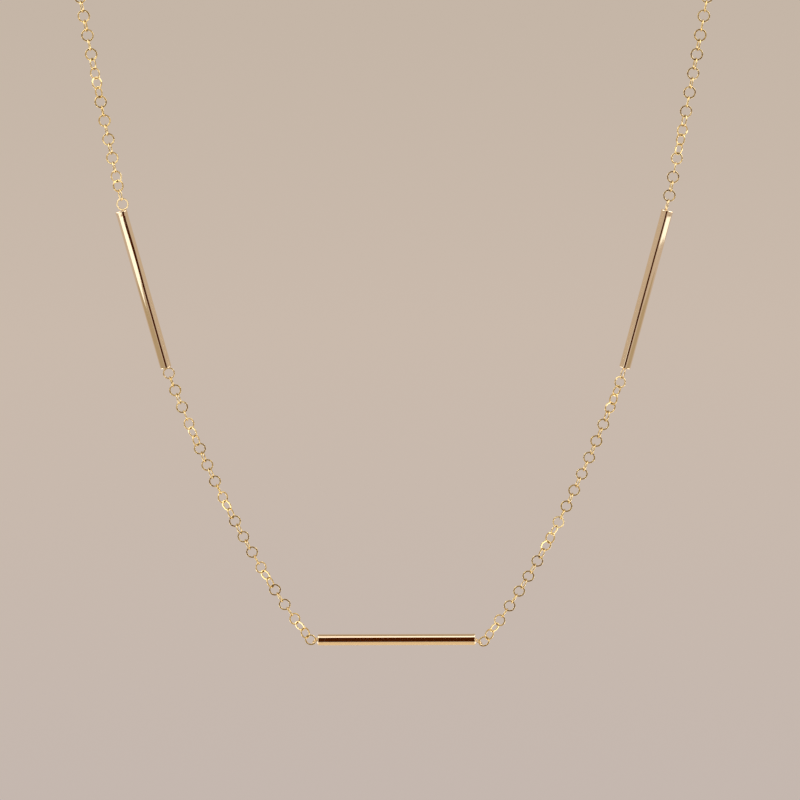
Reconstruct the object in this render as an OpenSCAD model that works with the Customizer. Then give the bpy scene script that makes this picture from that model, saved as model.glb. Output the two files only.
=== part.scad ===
// A fine cable chain necklace with three slim tube bars set into its front.
// It hangs free from the nape: the front lies in an upright plane, and the
// chain bends back over to the clasp, which is the highest point.
// Millimetres, +Z up, the front faces -Y, the origin is on the chain line at
// the nape, in the middle plane of the necklace.

/* [Bars] */
// Length of each tube bar
bar_len = 25; // [15:0.5:40]
// Outer diameter of a bar
bar_d = 1.75; // [1.2:0.05:3]
// Wall of the hollow tube
bar_wall = 0.15; // [0.1:0.05:0.3]
// Length of the solid plug that closes each tube end
plug_len = 1.6; // [1:0.1:4]
// Chamfer of the tube end edges
bar_edge = 0.12; // [0.05:0.01:0.3]
// Diameter of the vent hole at the back, which lets air out in soldering
vent_d = 0.4; // [0.2:0.05:0.6]

/* [Chain] */
// Outer diameter of a round link
link_od = 1.94; // [1.4:0.02:3]
// Outer diameter of the loops soldered into the ends of the centre bar
loop_od = 1.6; // [1.4:0.02:2.2]
// Diameter of the wire of links and loops
link_wire = 0.2; // [0.1:0.01:0.3]
// Clear gap where two rings pass through each other
ring_gap = 0.12; // [0.1:0.01:0.3]
// Loose links between the centre bar and each side bar
low_links = 34; // [20:1:45]
// Length of the whole closed necklace along its line
necklace_len = 430; // [400:1:440]

/* [Hang] */
// Weight of a bar, counted in links
bar_weight = 61; // [20:1:120]
// Sideways pull in the front, counted in weights of a link
side_pull = 22.9; // [15:0.1:40]

/* [Neck loop] */
// Links above a side bar that hang before the arch over the neck starts
hang_links = 28; // [26:1:40]
// Height above the centre bar where the chain starts to bend back
front_rise = 103; // [80:1:120]
// Radius of that bend
bend_r = 22; // [12:1:40]
// Angle between the upright front and the stretch that runs back
back_lean = 65; // [30:1:85]

/* [Clasp] */
// Outer diameter of the ring clasp
clasp_od = 5.5; // [4.5:0.1:9]
// Thickness of the ring clasp
clasp_wire = 0.9; // [0.7:0.05:1.2]
// Outer diameter of the eye soldered to the clasp
eye_od = 2.2; // [1.9:0.1:3]
// Wire of that eye
eye_wire = 0.4; // [0.3:0.05:0.5]
// Outer diameter of the end ring that the clasp hooks into
end_ring_od = 3.2; // [2.6:0.1:5]
// Wire of the end ring
end_ring_wire = 0.5; // [0.3:0.05:0.7]
// Diameter of the thumb nub on the clasp
nub_d = 0.7; // [0.4:0.05:0.9]
// How far the thumb nub stands out from the clasp
nub_out = 0.6; // [0.3:0.05:1.2]
// Where the thumb nub sits, as an angle from the line of the chain
nub_angle = 50; // [30:5:80]

/* [Hidden] */

gold = [0.86, 0.68, 0.42];
ring_fn = 48;
wire_fn = 24;
bar_fn = 64;

// Loops soldered to the bar ends. Columns: how far beyond the tube end the
// chain takes hold, how far beside the bar's axis it does so (towards the
// inside of the necklace, up on the centre bar), and the lean of the loop.
// The centre bar's loops are set into its ends. Each side bar carries a link
// of the chain at either end, its wire sunk into the solder on the end face,
// deepest at the top of the right bar.
OUT = 0;
BESIDE = 1;
LEAN = 2;
solder_depth = 0.05;
deep_solder = 0.2;
function end_link_out(depth) = link_od - link_wire - ring_gap / 2 - depth;
loop_centre_left = [0.71, -0.55, -35];
loop_centre_right = [0.98, -0.88, -35];
loop_left_low = [end_link_out(solder_depth), 0.2, 0];
loop_left_top = [end_link_out(solder_depth), 0.5, 0];
loop_right_low = [end_link_out(solder_depth), 0.05, 0];
loop_right_top = [end_link_out(deep_solder), 0.25, 0];

// How each strand is twisted about its own line. Columns: the number of the
// link, counted outwards from the loop it starts at, and the turn in degrees.
// A link faces forward where its quarter turns and this turn add up to a half.
turns_lower_left = [[0, -90], [6, 0], [8, 0], [13, 90], [17, 90], [22, 180], [26, 180], [31, 270]];
turns_lower_right = [[0, -90], [6, 0], [12, 0], [18, 90], [29, 90], [36, 165]];
turns_upper_left = [[0, 180], [4, 90], [9, 90], [16, 0]];
turns_upper_right = [[3, 90], [10, 0]];

// Distance from the centre of a ring to the middle of the gap where the next
// ring passes through it
function reach(od, wire) = od / 2 - wire - ring_gap / 2;
link_reach = reach(link_od, link_wire);
pitch = 2 * link_reach;

// The necklace is laid out flat first: u sideways, v upwards from the centre
// bar. Each side is worked out with u counted outwards.
function along(angle) = [cos(angle), sin(angle)];
function inside(angle) = [-sin(angle), cos(angle)];

// Joints of a free stretch of links that starts at a point and already
// carries a load, both counted in links
function hanging(start, load, count) = [
    for (k = 0, p = start; k <= count;
        p = p + pitch * along(atan2(load + k + 0.5, side_pull)), k = k + 1) p
];

// Joints of the lower strand, from the centre bar to the side bar
function lower_joints(loop_c) = hanging([bar_len / 2 + loop_c[OUT], loop_c[BESIDE]], bar_weight / 2, low_links);

// A side bar hangs along the line of pull between its two loops
pull_angle = atan2(bar_weight + low_links, side_pull);
function bar_span(low, top) = low[OUT] + bar_len + top[OUT];
function bar_skew(low, top) = atan2(top[BESIDE] - low[BESIDE], bar_span(low, top));
function bar_angle(low, top) = pull_angle - bar_skew(low, top);
function bar_hold(low, top) = bar_span(low, top) / cos(bar_skew(low, top));
function bar_middle(foot, low, top) = let (a = bar_angle(low, top))
    foot + (low[OUT] + bar_len / 2) * along(a) - low[BESIDE] * inside(a);

// Joints of the upper strand while it still hangs
upper_load = 1.5 * bar_weight + low_links;
function upper_joints(foot, low, top) =
    hanging(foot + bar_hold(low, top) * along(pull_angle), upper_load, hang_links);

// The closing group at the nape: eye, clasp and end ring in one line
eye_reach = reach(eye_od, eye_wire);
clasp_reach = reach(clasp_od, clasp_wire);
end_ring_reach = reach(end_ring_od, end_ring_wire);
eye_to_clasp = (clasp_od + eye_od) / 2 - eye_wire;
closing_len = eye_reach + eye_to_clasp + clasp_reach + 2 * end_ring_reach;

// Foot and last hanging joint of each side
function last(list) = list[len(list) - 1];
foot_left = last(lower_joints(loop_centre_left));
foot_right = last(lower_joints(loop_centre_right));
hung_left = last(upper_joints(foot_left, loop_left_low, loop_left_top));
hung_right = last(upper_joints(foot_right, loop_right_low, loop_right_top));

// Links of the arch from there to the nape: as many as the whole length asks
side_len = necklace_len / 2 - bar_len / 2 - closing_len / 2
    - bar_hold(loop_left_low, loop_left_top) - (low_links + hang_links) * pitch;
arch_links = round(side_len / pitch);
arch_len = arch_links * pitch;
upper_links = hang_links + arch_links;

// Each arch is a straight stretch and then one arc that ends level at the
// nape. Its radius follows from the length and the way it has to reach
// sideways, and the closing group moves sideways until both arcs end level.
arch_angle = atan2(upper_load + hang_links, side_pull);
arch_turn = 180 - arch_angle;
arch_turn_len = arch_turn * PI / 180;
arch_share = arch_turn_len * cos(arch_angle) + sin(arch_angle);
function arch_r(hung, to_u) = (hung[0] + arch_len * cos(arch_angle) - to_u) / arch_share;
function arch_top(hung, to_u) = hung[1] + arch_len * sin(arch_angle)
    + arch_r(hung, to_u) * (1 + cos(arch_angle) - arch_turn_len * sin(arch_angle));
arch_drop = (arch_turn_len * sin(arch_angle) - 1 - cos(arch_angle)) / arch_share;
closing_shift = (arch_top(hung_right, closing_len / 2) - arch_top(hung_left, closing_len / 2))
    / (-2 * arch_drop);
end_left = closing_len / 2 - closing_shift;
end_right = closing_len / 2 + closing_shift;
nape_v = arch_top(hung_left, end_left);

// A point of the arch, a given way along it
function arch_point(hung, to_u, s) =
    let (r = arch_r(hung, to_u), straight = arch_len - r * arch_turn_len)
    s < straight
        ? hung + s * along(arch_angle)
        : let (a = arch_angle + (s - straight) / r * 180 / PI)
            hung + straight * along(arch_angle) + r * (inside(arch_angle) - inside(a));
function arch_joints(hung, to_u) = [for (k = [1 : arch_links]) arch_point(hung, to_u, k * pitch)];

// All joints of an upper strand
function upper_line(foot, low, top, hung, to_u) =
    concat(upper_joints(foot, low, top), arch_joints(hung, to_u));

// The flat layout stands upright up to front_rise, then bends back
function bend_at(v) = min(max((v - front_rise) / bend_r * 180 / PI, 0), back_lean);
bend_len = bend_r * back_lean * PI / 180;
function back_of(v) = bend_r * (1 - cos(bend_at(v))) + max(v - front_rise - bend_len, 0) * sin(back_lean);
function rise_of(v) = min(v, front_rise) + bend_r * sin(bend_at(v))
    + max(v - front_rise - bend_len, 0) * cos(back_lean);

// Places a piece drawn along X, facing -Y, at a point of the flat layout
module on_line(u, v, angle, roll) {
    translate([u, back_of(v) - back_of(nape_v), rise_of(v) - rise_of(nape_v)])
        rotate([-bend_at(v), 0, 0])
            rotate([0, -angle, 0])
                rotate([roll, 0, 0])
                    children();
}

// A round wire ring that faces -Y
module ring(od, wire) {
    rotate([90, 0, 0])
        rotate_extrude($fn = ring_fn)
            translate([(od - wire) / 2, 0])
                circle(d = wire, $fn = wire_fn);
}

// The turn of a strand at one link, between the rows of its table
function turn_at(rows, i) =
    i <= rows[0][0] ? rows[0][1]
    : i >= last(rows)[0] ? last(rows)[1]
    : lookup(i, rows);
function roll_at(rows, i) = 90 * i + turn_at(rows, i);

// The rows of an upper strand with one more, which turns its last link the
// short way to a given roll, so that it meets the closing group squarely
function short_way(angle) = angle - 180 * round(angle / 180);
function settled(rows, roll) = concat(rows,
    [[upper_links, last(rows)[1] + short_way(roll - roll_at(rows, upper_links))]]);
EDGE_ON = 90;
FACE_ON = 0;
settled_left = settled(turns_upper_left, EDGE_ON);
settled_right = settled(turns_upper_right, FACE_ON);

// One ring on each stretch between two joints; side is 1 right, -1 left
module strand(joints, rows, side) {
    for (i = [1 : len(joints) - 1]) {
        step = joints[i] - joints[i - 1];
        middle = (joints[i] + joints[i - 1]) / 2;
        on_line(side * middle[0], middle[1], atan2(step[1], side * step[0]), side * roll_at(rows, i))
            ring(link_od, link_wire);
    }
}

// A bar along X with its plugs and broken end edges, vented at the back
module tube() {
    r = bar_d / 2;
    half = bar_len / 2;
    difference() {
        rotate([0, 90, 0])
            rotate_extrude($fn = bar_fn)
                polygon([
                    [0, -half], [r - bar_edge, -half], [r, bar_edge - half],
                    [r, half - bar_edge], [r - bar_edge, half], [0, half]
                ]);
        rotate([0, 90, 0])
            cylinder(r = r - bar_wall, h = bar_len - 2 * plug_len, center = true, $fn = bar_fn);
        translate([half - plug_len - vent_d, 0, 0])
            rotate([-90, 0, 0])
                cylinder(d = vent_d, h = bar_d, $fn = wire_fn);
    }
}

// A loop soldered to a tube end; end is 1 or -1 along the bar, and the
// inside of the necklace lies towards +Z of the bar. The first link bears on
// the loop's wire in the direction of its pull.
module end_loop(place, end, roll, od, pull = 0) {
    hold = (link_wire + ring_gap) / 2;
    middle = [bar_len / 2 + place[OUT], place[BESIDE]] + hold * along(pull)
        - (od - link_wire) / 2 * along(place[LEAN]);
    mirror([end < 0 ? 1 : 0, 0, 0])
        translate([middle[0], 0, middle[1]])
            rotate([0, -place[LEAN], 0])
                rotate([roll, 0, 0])
                    ring(od, link_wire);
}

// The bar between the two lower strands
module bar_centre() {
    first_pull = atan2(bar_weight / 2 + 0.5, side_pull);
    color(gold) on_line(0, 0, 0, 0) {
        tube();
        end_loop(loop_centre_left, -1, -roll_at(turns_lower_left, 0), loop_od, first_pull);
        end_loop(loop_centre_right, 1, roll_at(turns_lower_right, 0), loop_od, first_pull);
    }
}

// A side bar, drawn so that +X of the bar points up the strand
module side_bar(foot, low, top, low_rows, top_rows, side) {
    middle = bar_middle(foot, low, top);
    angle = bar_angle(low, top);
    color(gold)
        on_line(side * middle[0], middle[1], side > 0 ? angle : 180 - angle, 0)
            mirror([0, 0, side > 0 ? 0 : 1]) {
                tube();
                end_loop(low, -1, roll_at(low_rows, low_links + 1), link_od);
                end_loop(top, 1, roll_at(top_rows, 0), link_od);
            }
}

module bar_left() {
    side_bar(foot_left, loop_left_low, loop_left_top, turns_lower_left, turns_upper_left, -1);
}

module bar_right() {
    side_bar(foot_right, loop_right_low, loop_right_top, turns_lower_right, turns_upper_right, 1);
}

module chain_lower_left() {
    color(gold) strand(lower_joints(loop_centre_left), turns_lower_left, -1);
}

module chain_lower_right() {
    color(gold) strand(lower_joints(loop_centre_right), turns_lower_right, 1);
}

module chain_upper_left() {
    color(gold)
        strand(upper_line(foot_left, loop_left_low, loop_left_top, hung_left, end_left), settled_left, -1);
}

module chain_upper_right() {
    color(gold)
        strand(upper_line(foot_right, loop_right_low, loop_right_top, hung_right, end_right), settled_right, 1);
}

// The clasp lies flat to the neck. It takes the last left link in its eye and
// the end ring, which stands across it, in its ring.
module clasp() {
    ring_u = -end_left + eye_reach + eye_to_clasp;
    color(gold)
        on_line(ring_u, nape_v, 0, FACE_ON) {
            ring(clasp_od, clasp_wire);
            translate([-eye_to_clasp, 0, 0])
                ring(eye_od, eye_wire);
            rotate([0, -nub_angle, 0])
                translate([clasp_od / 2 - clasp_wire / 2, 0, 0])
                    rotate([0, 90, 0])
                        cylinder(d = nub_d, h = clasp_wire / 2 + nub_out, $fn = wire_fn);
        }
}

module end_ring() {
    color(gold)
        on_line(end_right - end_ring_reach, nape_v, 0, EDGE_ON)
            ring(end_ring_od, end_ring_wire);
}

bar_centre();
bar_left();
bar_right();
chain_lower_left();
chain_lower_right();
chain_upper_left();
chain_upper_right();
clasp();
end_ring();
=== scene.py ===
"""Looks of a cable chain necklace with three slim tube bars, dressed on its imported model.

Lengths are in metres unless a name or a comment says otherwise. +Z is up, and
the front of the necklace faces -Y.
"""
import math
import random

import bpy
import numpy as np
from mathutils import Matrix, Vector

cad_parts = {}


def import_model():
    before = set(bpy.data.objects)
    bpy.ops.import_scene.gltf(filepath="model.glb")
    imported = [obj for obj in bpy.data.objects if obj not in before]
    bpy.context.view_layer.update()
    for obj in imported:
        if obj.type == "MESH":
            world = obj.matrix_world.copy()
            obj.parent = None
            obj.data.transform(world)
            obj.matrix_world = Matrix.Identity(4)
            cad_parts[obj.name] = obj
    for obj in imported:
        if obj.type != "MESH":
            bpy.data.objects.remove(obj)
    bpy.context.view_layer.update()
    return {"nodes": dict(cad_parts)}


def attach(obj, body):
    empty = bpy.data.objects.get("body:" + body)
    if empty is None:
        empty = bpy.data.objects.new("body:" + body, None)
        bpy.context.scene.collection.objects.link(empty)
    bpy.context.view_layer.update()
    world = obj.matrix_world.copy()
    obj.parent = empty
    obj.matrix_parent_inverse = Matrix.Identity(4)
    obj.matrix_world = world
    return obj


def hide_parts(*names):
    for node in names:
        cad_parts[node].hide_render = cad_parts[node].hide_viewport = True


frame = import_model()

MM = 0.001
BODY = "root"

# The real necklace's links touch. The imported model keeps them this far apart.
GAP = 0.12 * MM

# Bars
BAR_LENGTH = 25 * MM
BAR_RADIUS = 0.875 * MM
END_ROUNDING = 0.16 * MM
ROUNDING_STEPS = 8
# A row of points this close to an edge keeps its shading from spreading along
# the tube.
SUPPORT = 0.02 * MM
# The end at +X, which is closed last, is spread a little by the closing. The
# spread sets in at a small share of its full measure.
FLARE_LENGTH = 0.78 * MM
FLARE = 0.04 * MM
FLARE_START = 0.02
PLUG_RADIUS = 0.69 * MM
PLUG_SEAM = 0.015 * MM
PLUG_DOME = 0.03 * MM
DOME_ROWS = (0.7, 0.4, 0)
MIDDLE_ROWS = (-0.5, 0, 0.5)
VENT_RADIUS = 0.2 * MM
VENT_RIM = 0.03 * MM
VENT_DEPTH = 0.4 * MM
VENT_FROM_MIDDLE = 10.5 * MM
VENT_CELLS = 12
BAR_SIDES = 96
BEAD_RADIUS = 0.22 * MM
BEAD_HEIGHT = 0.12 * MM
# Height and width of a solder mound, from its foot to its top
BEAD_PROFILE = ((0, 1), (0.35, 0.78), (0.7, 0.5), (0.93, 0.24), (1, 0))
BEAD_SIDES = 16

# Links. Their wire is rolled a little flat on the two faces of the ring, which
# spreads it sideways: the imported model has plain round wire.
MODEL_WIRE_RADIUS = 0.1 * MM
WIRE_HALF_WIDTH = 0.115 * MM
WIRE_HALF_HEIGHT = 0.095 * MM
FLAT_HALF_WIDTH = 0.075 * MM
# The flats lie at this share of the half height that the round sides have.
FLAT_SHARE = 0.85
FLAT_CORNERS = (1, 0.6, -0.6, -1)
# The points of a round side, in degrees from the plane of the ring
ROUND_TURNS = (38, 14, -14, -38)
LINK_STEPS = 44
# The soldered seam is thicker by a share. Widths are in radians along the ring.
SEAM_SWELL = 0.13
SEAM_WIDTH = 0.16
CONTACT_WIDTH = 0.30
SLACK_TURN = math.radians(6)
FACE_TILT = math.radians(8)

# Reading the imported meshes
SAME_SPOT = 0.0001 * MM
LONG_EDGE = BAR_LENGTH - 0.5 * MM
PAST_END = 0.02 * MM

# Camera, from where the bars and links lie in the picture
PICTURE_PX = 800
FOCAL_PX = 1900
SENSOR_MM = 36
CAMERA_TILT = 0.1991
CAMERA_YAW = -0.0103
CAMERA_ROLL = -0.0058
CAMERA_DISTANCE = 293.9 * MM
AIM_ABOVE_BAR = 38.8 * MM
AIM_RIGHT = 0.78 * MM
CLIP_START = 0.01

# Colours are linear
BACKDROP_HIGH = (0.558, 0.466, 0.386)
BACKDROP_MIDDLE = (0.590, 0.490, 0.413)
BACKDROP_LOW = (0.556, 0.474, 0.429)
# The backdrop changes from low to high between these heights of the direction
# looked in, with its middle colour at this share of the way.
BACKDROP_FROM = -0.4
BACKDROP_TO = 0.0
BACKDROP_TURN = 0.6
FLOOR_COLOUR = (0.80, 0.70, 0.52)
FLOOR_Z = -0.65
FLOOR_RADIUS = 0.9
FLOOR_SIDES = 96

# The strips of light and shade that the side bars mirror, each bent around the
# front at one distance from the middle of the necklace's front. Columns: the
# way that it lies in, in degrees from straight ahead towards the right, and
# its lower and upper edge above the centre bar, in millimetres.
STRIP_DISTANCE = 250
LEFT_LIGHT = [
    (-64, -10, 10), (-58, -10, 13), (-45, -6, 28), (-30, 9, 46), (-15, 27, 62),
    (0, 43, 76), (6, 50, 80),
]
RIGHT_LIGHT = [(23, 28, 41), (30, 22, 35), (45, 10, 24), (60, 2, 17), (80, -4, 12), (104, -4, 10)]
LEFT_SHADE = [
    (-105, -60, -15), (-76, -60, -12), (-60, -60, -10), (-45, -55, -6), (-30, -50, 9),
    (-15, -45, 27),
]
RIGHT_SHADE = [(30, -40, 4), (45, -55, -6), (60, -60, -8), (80, -60, -12), (100, -60, -20)]

# What the links mirror beyond those strips: the dim room in front, and pale
# panels at either side, which the backs of the side bars mirror too. The
# columns are the same.
DIM_ROOM = [
    [(-55, -150, -62), (-40, -150, -58), (-20, -150, -8), (-8, -140, 4)],
    [(8, -140, 4), (20, -150, -8), (40, -150, -58), (55, -150, -62)],
    [(-55, 124, 255), (-40, 114, 255), (-20, 94, 255), (-9, 82, 250)],
    [(9, 96, 250), (20, 100, 255), (40, 116, 255), (55, 124, 255)],
]
PANELS = [
    [(-125, 128, 250), (-60, 128, 250)],
    [(60, 128, 250), (125, 128, 250)],
    [(-125, -150, -64), (-60, -150, -64)],
    [(60, -150, -64), (125, -150, -64)],
    [(-116, 20, 44), (-72, 20, 44)],
    [(72, 20, 44), (116, 20, 44)],
]

# A pale sheet over the back. Millimetres from the foot: height, front and back
# edge, and half width.
CEILING_HEIGHT = 300
CEILING_EDGES = (28, 520)
CEILING_HALF_WIDTH = 300

# Upright dark cards close in front, which draw the dark line along each bar:
# the distance of each in front of the centre bar, and its rows. Columns:
# height above the centre bar, left edge and right edge. All in millimetres.
LOW_CARD = (95, [(-47, -26, 26), (30, -26, 26)])
SLANTED_CARD = (95, [(30, -30, 36), (52, -19, 41), (65, -10, 56), (80, 24, 100), (92, 52, 150)])
HIGH_CARD = (170, [(60, -36, 28), (352, -36, 28)])

# Papers: the colour of each and, of the lit ones, the strength of their glow
LIGHT_PAPER = ((1.0, 1.0, 0.96), 1.3)
SHADE_PAPER = ((0.45, 0.36, 0.25), 1.0)
DIM_PAPER = ((0.155, 0.115, 0.05), 1.0)
PANEL_PAPER = ((1.0, 0.98, 0.94), 2.9)
CEILING_PAPER = ((0.44, 0.345, 0.256), 1.0)
CARD_COLOUR = (0.075, 0.016, 0.0)
PAPER_ROUGHNESS = 0.95

# Lights
OVERHEAD_PLACE = (0, -0.060, 0.30)
OVERHEAD_SIZE = (0.50, 0.173)
OVERHEAD_WATTS = 0.227
WASH_ABOVE_FLOOR = 1.8
WASH_SIZE = (0.8, 0.8)
WASH_WATTS = 14.0

# Gold: tint, deeper tint, roughness and its spread, and the scales of the grain.
# The grain of the bars is drawn out along them.
BAR_GOLD = ((0.97, 0.82, 0.62), (0.88, 0.68, 0.36), 0.05, 0.015, (700, 26000, 26000))
CHAIN_GOLD = ((0.95, 0.76, 0.42), (0.80, 0.58, 0.22), 0.10, 0.04, (9000, 9000, 9000))
CLASP_GOLD = ((0.96, 0.80, 0.56), (0.92, 0.73, 0.47), 0.10, 0.04, (6000, 6000, 6000))
BAR_BUMP = 0.03
CLASP_BUMP = 0.05
BUMP_DEPTH = 0.004 * MM
NOISE_DETAIL = 4.0
TINT_SCALE = 900.0
TONE_SHARE = 0.7
TINT_NOISE_SHARE = 0.3
# Painted shade where links touch: the gold is darker and rougher there, standing in for the shadow
# between touching wires.
PAINTED_CONTACT_SHADE_COLOUR = (0.10, 0.055, 0.02)
PAINTED_CONTACT_SHADE_ROUGHNESS = 0.3


# Meshes

def new_object(name, vertices, faces, matrix=None):
    mesh = bpy.data.meshes.new(name)
    mesh.from_pydata([tuple(v) for v in vertices], [], [tuple(f) for f in faces])
    mesh.polygons.foreach_set("use_smooth", [True] * len(mesh.polygons))
    mesh.update()
    piece = bpy.data.objects.new(name, mesh)
    bpy.context.scene.collection.objects.link(piece)
    if matrix is not None:
        piece.matrix_world = matrix
    return piece


def axes_matrix(origin, x_axis, y_axis):
    """A frame with the given X axis, Y axis and origin."""
    x_axis = Vector(x_axis).normalized()
    z_axis = x_axis.cross(Vector(y_axis)).normalized()
    y_axis = z_axis.cross(x_axis)
    matrix = Matrix((x_axis, y_axis, z_axis)).transposed().to_4x4()
    matrix.translation = Vector(origin)
    return matrix


def vertex_array(node):
    mesh = frame["nodes"][node].data
    points = np.zeros(len(mesh.vertices) * 3)
    mesh.vertices.foreach_get("co", points)
    return points.reshape(-1, 3)


def edge_array(node):
    mesh = frame["nodes"][node].data
    edges = np.zeros(len(mesh.edges) * 2, int)
    mesh.edges.foreach_get("vertices", edges)
    return edges.reshape(-1, 2)


def loose_parts(points, edges):
    """The points of each loose part of a mesh, where points on the same spot count as joined."""
    _, spot = np.unique(np.round(points / SAME_SPOT).astype(int), axis=0, return_inverse=True)
    spot = spot.reshape(-1)
    label = np.arange(spot.max() + 1)
    a, b = spot[edges[:, 0]], spot[edges[:, 1]]
    while True:
        lowest = np.minimum(label[a], label[b])
        before = label.copy()
        np.minimum.at(label, a, lowest)
        np.minimum.at(label, b, lowest)
        label = label[label]
        if (label == before).all():
            break
    label = label[spot]
    return [points[label == one] for one in np.unique(label)]


def ring_of(points):
    """Centre, normal and radius of the circle that a ring's surface points lie around."""
    middle = points.mean(0)
    _, _, rows = np.linalg.svd(points - middle, full_matrices=False)
    a, b, normal = rows
    x, y = (points - middle) @ a, (points - middle) @ b
    terms = np.stack([2 * x, 2 * y, np.ones(len(x))], 1)
    fit, *_ = np.linalg.lstsq(terms, x * x + y * y, rcond=None)
    centre = middle + fit[0] * a + fit[1] * b
    radius = np.hypot(x - fit[0], y - fit[1]).mean()
    return centre, normal, radius


def wire_section(tilt):
    """The wire's section as (away from the ring's axis, along it) pairs, tilted in its place."""
    flat_height = FLAT_SHARE * WIRE_HALF_HEIGHT
    flat = [share * FLAT_HALF_WIDTH for share in FLAT_CORNERS]
    turns = [math.radians(turn) for turn in ROUND_TURNS]
    side = [(WIRE_HALF_WIDTH * math.cos(turn), WIRE_HALF_HEIGHT * math.sin(turn)) for turn in turns]
    points = [(x, flat_height) for x in flat] + [(-x, z) for x, z in side]
    points += [(-x, -flat_height) for x in flat] + [(x, -z) for x, z in side]
    cos, sin = math.cos(tilt), math.sin(tilt)
    return [(x * cos - z * sin, x * sin + z * cos) for x, z in points]


def touching_radius(radius):
    """A packed ring's radius, changed so that it all but touches its neighbours."""
    return radius - GAP / 2 + WIRE_HALF_WIDTH - MODEL_WIRE_RADIUS


def torus(radius, section, steps, swell=0.0):
    """Points, faces and painted contact shade values of a wire ring about Z.

    Its soldered seam, at +X, is thicker by the swell. Its neighbours touch its
    inner side at +Y and -Y, where the painted shade value is 1: shade painted
    where the links touch.
    """
    around = np.linspace(0, 2 * math.pi, steps, endpoint=False)
    turn = (around + math.pi) % (2 * math.pi) - math.pi
    thick = (1 + swell * np.exp(-(turn / SEAM_WIDTH) ** 2))[:, None]
    away, up = np.array(section).T
    reach = radius + thick * away
    cos, sin = np.cos(around)[:, None], np.sin(around)[:, None]
    points = np.stack([reach * cos, reach * sin, thick * up], -1)
    sides = len(section)
    i, j = np.meshgrid(np.arange(steps), np.arange(sides), indexing="ij")
    next_i, next_j = (i + 1) % steps, (j + 1) % sides
    corners = [i * sides + j, next_i * sides + j, next_i * sides + next_j, i * sides + next_j]
    faces = np.stack(corners, -1)
    # Painted shade on the inner side of the wire, where the neighbouring links touch it.
    near = np.exp(-((np.abs(turn) - math.pi / 2) / CONTACT_WIDTH) ** 2)[:, None]
    painted_contact_shade = near * np.clip(0.5 - away / WIRE_HALF_WIDTH, 0, 1)
    return points.reshape(-1, 3), faces.reshape(-1, 4), painted_contact_shade.reshape(-1)


def mark(piece, name, values):
    """Stores a value for each point of a piece, for its material."""
    piece.data.attributes.new(name, "FLOAT", "POINT").data.foreach_set("value", values)


def chain(node):
    """A strand's links as one mesh, each at its packed place but up against its neighbours."""
    rings = [ring_of(part) for part in loose_parts(vertex_array(node), edge_array(node))]
    centres = np.array([centre for centre, _, _ in rings])
    draw = random.Random(node)
    points, faces, tones, painted_contact_shades, count = [], [], [], [], 0
    for centre, normal, radius in rings:
        nearest = np.argsort(np.linalg.norm(centres - centre, axis=1))[1:3]
        along = Vector(centres[nearest[1]] - centres[nearest[0]]).normalized()
        slack = Matrix.Rotation(draw.uniform(-SLACK_TURN, SLACK_TURN), 3, along)
        normal = np.array(slack @ Vector(normal))
        seam = np.cross(normal, along)
        seam *= draw.choice((-1, 1)) / np.linalg.norm(seam)
        section = wire_section(draw.uniform(-FACE_TILT, FACE_TILT))
        own, own_faces, painted_contact_shade = torus(touching_radius(radius), section, LINK_STEPS, SEAM_SWELL)
        turned = own @ np.stack([seam, np.cross(normal, seam), normal])
        points.append(turned + centre)
        faces.append(own_faces + count)
        tones.append(np.full(len(own), draw.random()))
        painted_contact_shades.append(painted_contact_shade)
        count += len(own)
    piece = new_object(node + "_links", np.concatenate(points), np.concatenate(faces))
    mark(piece, "tone", np.concatenate(tones))
    # The painted contact shade goes to the material as a value on each point.
    mark(piece, "painted_contact_shade", np.concatenate(painted_contact_shades))
    return piece


def bar_axis(node):
    """Middle and direction of a tube, from the long edges of its outer face."""
    points, edges = vertex_array(node), edge_array(node)
    ends = points[edges]
    spans = ends[:, 1] - ends[:, 0]
    lengths = np.linalg.norm(spans, axis=1)
    outer = lengths > LONG_EDGE
    spans, ends = spans[outer], ends[outer]
    facing = np.sign(spans @ spans[0])
    direction = (spans * facing[:, None]).sum(0)
    direction /= np.linalg.norm(direction)
    rim = np.unique(np.round(ends.reshape(-1, 3), 9), axis=0)
    height = rim @ direction
    halves = [rim[height > height.mean()], rim[height < height.mean()]]
    middle = (ring_of(halves[0])[0] + ring_of(halves[1])[0]) / 2
    if direction[np.argmax(np.abs(direction))] < 0:
        direction = -direction
    return Vector(middle), Vector(direction)


def lathe(profile, sides):
    """Points of (along X, radius) pairs turned about X, and the numbers of each row of them."""
    points, rows = [], []
    for along, radius in profile:
        if radius == 0:
            rows.append([len(points)] * sides)
            points.append((along, 0, 0))
            continue
        rows.append(list(range(len(points), len(points) + sides)))
        for k in range(sides):
            turn = 2 * math.pi * k / sides
            points.append((along, radius * math.cos(turn), radius * math.sin(turn)))
    return points, rows


def skin(rows, left_out=()):
    """Faces from each row to the next, apart from the (row, column) cells that are left out."""
    faces = []
    for i, (row, upper) in enumerate(zip(rows, rows[1:])):
        for k in range(len(row)):
            n = (k + 1) % len(row)
            if (i, k) not in left_out:
                faces.append(list(dict.fromkeys([row[k], row[n], upper[n], upper[k]])))
    return faces


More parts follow.
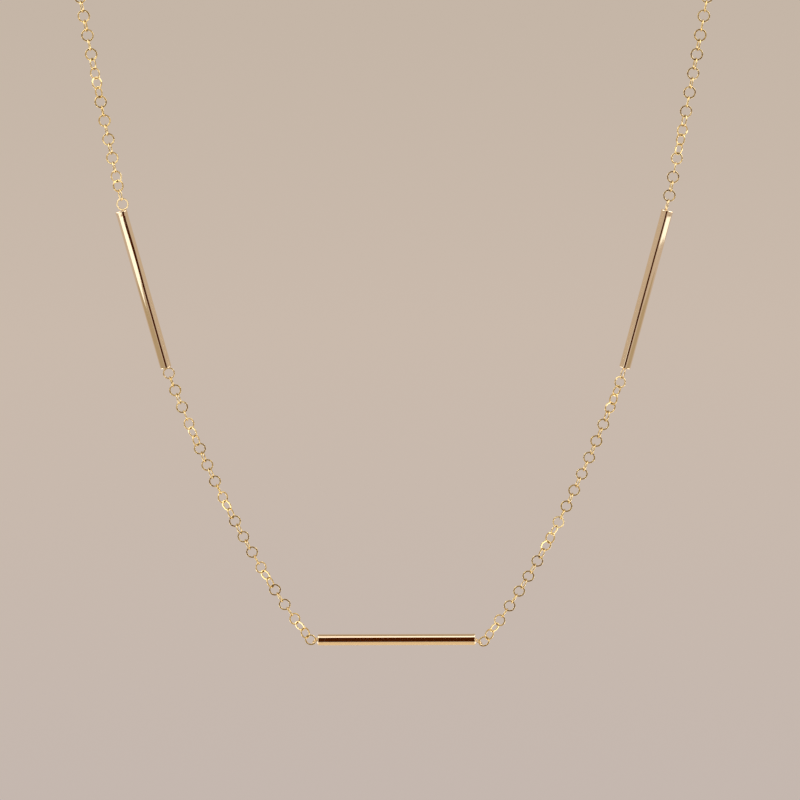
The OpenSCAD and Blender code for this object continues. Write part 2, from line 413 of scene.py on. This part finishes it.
def bar_profile():
    """The outline of a tube from end to end, and the number of its first row at the vent."""
    half = BAR_LENGTH / 2
    inner = PLUG_RADIUS - PLUG_SEAM

    def end(flare):
        start = half - END_ROUNDING
        rows = [
            (half - FLARE_LENGTH - SUPPORT, BAR_RADIUS),
            (half - FLARE_LENGTH, BAR_RADIUS + flare * FLARE_START),
            (start - SUPPORT, BAR_RADIUS + flare),
        ]
        for k in range(ROUNDING_STEPS + 1):
            turn = math.pi / 2 * k / ROUNDING_STEPS
            rows.append((
                start + END_ROUNDING * math.sin(turn),
                BAR_RADIUS + flare - END_ROUNDING * (1 - math.cos(turn)),
            ))
        rows += [(half, PLUG_RADIUS + PLUG_SEAM), (half - PLUG_SEAM, PLUG_RADIUS), (half, inner)]
        return rows + [(half + PLUG_DOME * (1 - share ** 2), inner * share) for share in DOME_ROWS]

    cell = 2 * math.pi * BAR_RADIUS / BAR_SIDES
    vent = [
        (VENT_FROM_MIDDLE + cell * (k - VENT_CELLS / 2), BAR_RADIUS)
        for k in range(VENT_CELLS + 1)
    ]
    before = [(-x, r) for x, r in reversed(end(0))]
    before += [(half * share, BAR_RADIUS) for share in MIDDLE_ROWS]
    before.append((vent[0][0] - SUPPORT, BAR_RADIUS))
    after = [(vent[-1][0] + SUPPORT, BAR_RADIUS)]
    return before + vent + after + end(FLARE), len(before)


def vent_hole(rows, first, points):
    """Adds the points of a round hole at the back to the list.

    The hole is closed at its bottom, inside the tube. Returns its faces and the
    cells that it takes.
    """
    half = VENT_CELLS // 2
    cells = {
        (first + i, (k - half) % BAR_SIDES)
        for i in range(VENT_CELLS) for k in range(VENT_CELLS)
    }
    square = [(0, k) for k in range(-half, half)] + [(i, half) for i in range(VENT_CELLS)]
    square += [(VENT_CELLS, k) for k in range(half, -half, -1)]
    square += [(i, -half) for i in range(VENT_CELLS, 0, -1)]
    loops = [[rows[first + i][k % BAR_SIDES] for i, k in square]]
    turns = [math.atan2(k, i - half) for i, k in square]
    steps = (
        (VENT_RADIUS + VENT_RIM, 0),
        (VENT_RADIUS + VENT_RIM / 3, VENT_RIM / 3),
        (VENT_RADIUS, VENT_RIM),
        (VENT_RADIUS, VENT_DEPTH),
    )
    for radius, depth in steps:
        loops.append(list(range(len(points), len(points) + len(square))))
        for turn in turns:
            side = radius * math.sin(turn)
            surface = math.sqrt(BAR_RADIUS ** 2 - side ** 2)
            points.append((VENT_FROM_MIDDLE + radius * math.cos(turn), surface - depth, side))
    loops.append([len(points)] * len(square))
    points.append((VENT_FROM_MIDDLE, BAR_RADIUS - VENT_DEPTH, 0))
    return skin(loops), cells


def solder_bead(centre, outwards, across):
    """A low mound of solder on an end face."""
    profile = [(BEAD_HEIGHT * up, BEAD_RADIUS * wide) for up, wide in BEAD_PROFILE]
    points, rows = lathe(profile, BEAD_SIDES)
    matrix = axes_matrix(centre, outwards, across)
    return [tuple(matrix @ Vector(p)) for p in points], skin(rows)


def ring_seats(centre, normal, radius, face_x):
    """Where a ring meets the plane of an end face: its crossings, or its nearest point."""
    outwards = np.array([math.copysign(1, face_x), 0, 0])
    lean = outwards - normal * (outwards @ normal)
    lean /= np.linalg.norm(lean)
    side = np.cross(normal, lean)
    depth = (centre @ outwards - abs(face_x)) / (radius * (lean @ outwards))
    if depth >= 1:
        return [centre - radius * lean]
    turn = math.acos(-depth)
    return [
        centre + radius * (math.cos(turn) * lean + sign * math.sin(turn) * side)
        for sign in (-1, 1)
    ]


def bar(node):
    """A tube bar with the ring soldered to each end."""
    middle, direction = bar_axis(node)
    matrix = axes_matrix(middle, direction, (0, 1, 0))
    local = (vertex_array(node) - np.array(middle)) @ np.array(matrix.to_3x3())
    profile, first = bar_profile()
    points, rows = lathe(profile, BAR_SIDES)
    faces, cells = vent_hole(rows, first, points)
    faces += skin(rows, cells)
    tube_points = len(points)
    for end in (-1, 1):
        face_x = end * BAR_LENGTH / 2
        past_end = local[:, 0] * end > BAR_LENGTH / 2 + PAST_END
        centre, normal, radius = ring_of(local[past_end])
        radius = touching_radius(radius)
        outwards = np.array([end, 0, 0]) - normal * (end * normal[0])
        outwards /= np.linalg.norm(outwards)
        own, own_faces, _ = torus(radius, wire_section(0), LINK_STEPS)
        turned = own @ np.stack([outwards, np.cross(normal, outwards), normal]) + centre
        faces += (own_faces + len(points)).tolist()
        points += turned.tolist()
        for spot in ring_seats(centre, normal, radius, face_x):
            bead, bead_faces = solder_bead((face_x, spot[1], spot[2]), (end, 0, 0), normal)
            faces += [[len(points) + v for v in f] for f in bead_faces]
            points += bead
    piece = new_object(node + "_tube", points, faces, matrix)
    mark(piece, "tone", [0.0] * tube_points + [1.0] * (len(points) - tube_points))
    return piece


# Materials

def gold(name, tint, deep_tint, rough, rough_spread, grain, bump=0.0, marked=False):
    """Polished gold plating, with fine grain in its roughness and, with a bump, in its surface.

    Its colour wanders between the tint and the deep tint. On a marked mesh the
    tone value leads to the deep tint, and painted shade darkens it where links
    touch, in place of the shadow between them.
    """
    material = bpy.data.materials.new(name)
    material.use_nodes = True
    nodes, links = material.node_tree.nodes, material.node_tree.links
    shader = nodes["Principled BSDF"]
    shader.inputs["Metallic"].default_value = 1.0

    def noise(scale, stretch):
        place = nodes.new("ShaderNodeTexCoord")
        mapping = nodes.new("ShaderNodeMapping")
        mapping.inputs["Scale"].default_value = stretch
        texture = nodes.new("ShaderNodeTexNoise")
        texture.inputs["Scale"].default_value = scale
        texture.inputs["Detail"].default_value = NOISE_DETAIL
        links.new(place.outputs["Object"], mapping.inputs["Vector"])
        links.new(mapping.outputs["Vector"], texture.inputs["Vector"])
        return texture.outputs["Fac"]

    def attribute(called):
        node = nodes.new("ShaderNodeAttribute")
        node.attribute_name = called
        return node.outputs["Fac"]

    def math_node(operation, *inputs):
        node = nodes.new("ShaderNodeMath")
        node.operation = operation
        for slot, value in zip(node.inputs, inputs):
            if isinstance(value, float):
                slot.default_value = value
            else:
                links.new(value, slot)
        return node.outputs["Value"]

    def mix(factor, first, second):
        node = nodes.new("ShaderNodeMix")
        node.data_type = "RGBA"
        links.new(factor, node.inputs["Factor"])
        for slot, value in (("A", first), ("B", second)):
            if isinstance(value, tuple):
                node.inputs[slot].default_value = (*value, 1)
            else:
                links.new(value, node.inputs[slot])
        return node.outputs["Result"]

    fine = noise(1.0, grain)
    share = noise(TINT_SCALE, (1, 1, 1))
    if marked:
        share = math_node("MULTIPLY", share, TINT_NOISE_SHARE)
        share = math_node("MULTIPLY_ADD", attribute("tone"), TONE_SHARE, share)
    colour = mix(share, tint, deep_tint)
    rough_here = math_node("MULTIPLY_ADD", fine, 2 * rough_spread, rough - rough_spread)
    if marked:
        # Painted shade where links touch: a darker colour and rougher gold.
        painted_contact_shade = attribute("painted_contact_shade")
        colour = mix(painted_contact_shade, colour, PAINTED_CONTACT_SHADE_COLOUR)
        rough_here = math_node("MULTIPLY_ADD", painted_contact_shade, PAINTED_CONTACT_SHADE_ROUGHNESS, rough_here)
    links.new(colour, shader.inputs["Base Color"])
    links.new(rough_here, shader.inputs["Roughness"])
    if bump:
        relief = nodes.new("ShaderNodeBump")
        relief.inputs["Strength"].default_value = bump
        relief.inputs["Distance"].default_value = BUMP_DEPTH
        links.new(fine, relief.inputs["Height"])
        links.new(relief.outputs["Normal"], shader.inputs["Normal"])
    return material


def paper(name, colour, glow=0.0):
    """Matt paper. With a glow it gives off its colour, as a lit diffuser does."""
    material = bpy.data.materials.new(name)
    material.use_nodes = True
    shader = material.node_tree.nodes["Principled BSDF"]
    shader.inputs["Roughness"].default_value = PAPER_ROUGHNESS
    shader.inputs["Specular IOR Level"].default_value = 0.0
    shader.inputs["Base Color"].default_value = (0, 0, 0, 1) if glow else (*colour, 1)
    shader.inputs["Emission Color"].default_value = (*colour, 1)
    shader.inputs["Emission Strength"].default_value = glow
    return material


# Studio

def world():
    """A plain backdrop all round, a little pinker below."""
    scene_world = bpy.data.worlds.new("backdrop")
    bpy.context.scene.world = scene_world
    scene_world.use_nodes = True
    nodes, links = scene_world.node_tree.nodes, scene_world.node_tree.links
    direction = nodes.new("ShaderNodeTexCoord")
    split = nodes.new("ShaderNodeSeparateXYZ")
    share = nodes.new("ShaderNodeMapRange")
    share.inputs["From Min"].default_value = BACKDROP_FROM
    share.inputs["From Max"].default_value = BACKDROP_TO
    ramp = nodes.new("ShaderNodeValToRGB")
    stops = ramp.color_ramp.elements
    stops[0].color = (*BACKDROP_LOW, 1)
    stops[1].color = (*BACKDROP_HIGH, 1)
    stops.new(BACKDROP_TURN).color = (*BACKDROP_MIDDLE, 1)
    links.new(direction.outputs["Generated"], split.inputs["Vector"])
    links.new(split.outputs["Z"], share.inputs["Value"])
    links.new(share.outputs["Result"], ramp.inputs["Fac"])
    links.new(ramp.outputs["Color"], nodes["Background"].inputs["Color"])


def soft_light(name, place, aim, size, watts):
    data = bpy.data.lights.new(name, "AREA")
    data.shape = "RECTANGLE"
    data.size, data.size_y = size
    data.energy = watts
    light = bpy.data.objects.new(name, data)
    light.location = place
    light.rotation_euler = (Vector(aim) - Vector(place)).to_track_quat("-Z", "Y").to_euler()
    light.visible_camera = False
    bpy.context.scene.collection.objects.link(light)
    return light


def mirrored_sheet(name, rows, material):
    """A studio sheet that only the metal sees. Each row holds its lower and upper corner."""
    points = [corner for row in rows for corner in row]
    faces = [(2 * k, 2 * k + 2, 2 * k + 3, 2 * k + 1) for k in range(len(rows) - 1)]
    piece = new_object(name, points, faces)
    piece.data.materials.append(material)
    piece.visible_camera = False
    piece.visible_shadow = False
    piece.visible_diffuse = False


def strip(name, table, material, foot):
    """A strip bent around the front, from one of the tables above.

    The foot is the middle of the centre bar.
    """
    rows = []
    for degrees, low, high in table:
        way = math.radians(degrees)
        row = []
        for height in (low, high):
            rise = height * MM - AIM_ABOVE_BAR
            reach = math.sqrt((STRIP_DISTANCE * MM) ** 2 - rise ** 2)
            row.append(foot + Vector((reach * math.sin(way), -reach * math.cos(way), height * MM)))
        rows.append(row)
    mirrored_sheet(name, rows, material)


def card(name, table, material, foot):
    """An upright dark card in front, from one of the tables above."""
    distance, rows = table
    corners = [
        [foot + Vector((x * MM, -distance * MM, height * MM)) for x in (left, right)]
        for height, left, right in rows
    ]
    mirrored_sheet(name, corners, material)


def ceiling(material, foot):
    """A sheet over the back, which the bars and links mirror from above."""
    corners = [
        [foot + Vector((x * MM, y * MM, CEILING_HEIGHT * MM)) for y in CEILING_EDGES]
        for x in (-CEILING_HALF_WIDTH, CEILING_HALF_WIDTH)
    ]
    mirrored_sheet("ceiling", corners, material)


def floor():
    turns = [2 * math.pi * k / FLOOR_SIDES for k in range(FLOOR_SIDES)]
    rim = [
        (FLOOR_RADIUS * math.cos(turn), FLOOR_RADIUS * math.sin(turn), FLOOR_Z)
        for turn in turns
    ]
    piece = new_object("floor", rim, [tuple(range(FLOOR_SIDES))])
    piece.data.materials.append(paper("floor_paper", FLOOR_COLOUR))


def camera(foot):
    data = bpy.data.cameras.new("picture_camera")
    data.sensor_width = SENSOR_MM
    data.lens = FOCAL_PX / PICTURE_PX * SENSOR_MM
    data.clip_start = CLIP_START
    forward = Vector((
        math.sin(CAMERA_YAW) * math.cos(CAMERA_TILT),
        math.cos(CAMERA_YAW) * math.cos(CAMERA_TILT),
        -math.sin(CAMERA_TILT),
    ))
    level = Vector((math.cos(CAMERA_YAW), -math.sin(CAMERA_YAW), 0))
    upright = level.cross(forward)
    right = math.cos(CAMERA_ROLL) * level + math.sin(CAMERA_ROLL) * upright
    matrix = Matrix((right, right.cross(forward), -forward)).transposed().to_4x4()
    matrix.translation = foot + Vector((AIM_RIGHT, 0, AIM_ABOVE_BAR)) - forward * CAMERA_DISTANCE
    piece = bpy.data.objects.new("picture_camera", data)
    piece.matrix_world = matrix
    bpy.context.scene.collection.objects.link(piece)
    bpy.context.scene.camera = piece


foot, _ = bar_axis("bar_centre")
foot = Vector((0, foot.y, foot.z))
camera(foot)
bpy.context.scene.view_settings.view_transform = "Standard"
world()
floor()

light_paper = paper("light_diffuser", *LIGHT_PAPER)
shade_paper = paper("shade_paper", *SHADE_PAPER)
dark_paper = paper("dark_paper", CARD_COLOUR)
dim_paper = paper("dim_paper", *DIM_PAPER)
panel_paper = paper("panel_paper", *PANEL_PAPER)
ceiling_paper = paper("ceiling_paper", *CEILING_PAPER)
strip("left_light", LEFT_LIGHT, light_paper, foot)
strip("right_light", RIGHT_LIGHT, light_paper, foot)
strip("left_shade", LEFT_SHADE, shade_paper, foot)
strip("right_shade", RIGHT_SHADE, shade_paper, foot)
for number, table in enumerate(DIM_ROOM):
    strip("dim_room_%d" % number, table, dim_paper, foot)
for number, table in enumerate(PANELS):
    strip("panel_%d" % number, table, panel_paper, foot)
ceiling(ceiling_paper, foot)
card("low_card", LOW_CARD, dark_paper, foot)
card("slanted_card", SLANTED_CARD, dark_paper, foot)
card("high_card", HIGH_CARD, dark_paper, foot)

overhead = foot + Vector(OVERHEAD_PLACE)
soft_light("overhead", overhead, overhead - Vector((0, 0, 1)), OVERHEAD_SIZE, OVERHEAD_WATTS)
wash_place = (0, 0, FLOOR_Z + WASH_ABOVE_FLOOR)
wash = soft_light("floor_wash", wash_place, (0, 0, FLOOR_Z), WASH_SIZE, WASH_WATTS)
wash.visible_glossy = False

bar_gold = gold("bar_gold_plate", *BAR_GOLD, bump=BAR_BUMP, marked=True)
chain_gold = gold("chain_gold_plate", *CHAIN_GOLD, marked=True)
clasp_gold = gold("clasp_gold_plate", *CLASP_GOLD, bump=CLASP_BUMP)

for node in ("bar_centre", "bar_left", "bar_right"):
    piece = bar(node)
    piece.data.materials.append(bar_gold)
    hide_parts(node)
    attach(piece, BODY)

for node in ("chain_lower_left", "chain_lower_right", "chain_upper_left", "chain_upper_right"):
    piece = chain(node)
    piece.data.materials.append(chain_gold)
    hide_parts(node)
    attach(piece, BODY)

for node in ("clasp", "end_ring"):
    for place in frame["nodes"][node].material_slots:
        place.material = clasp_gold
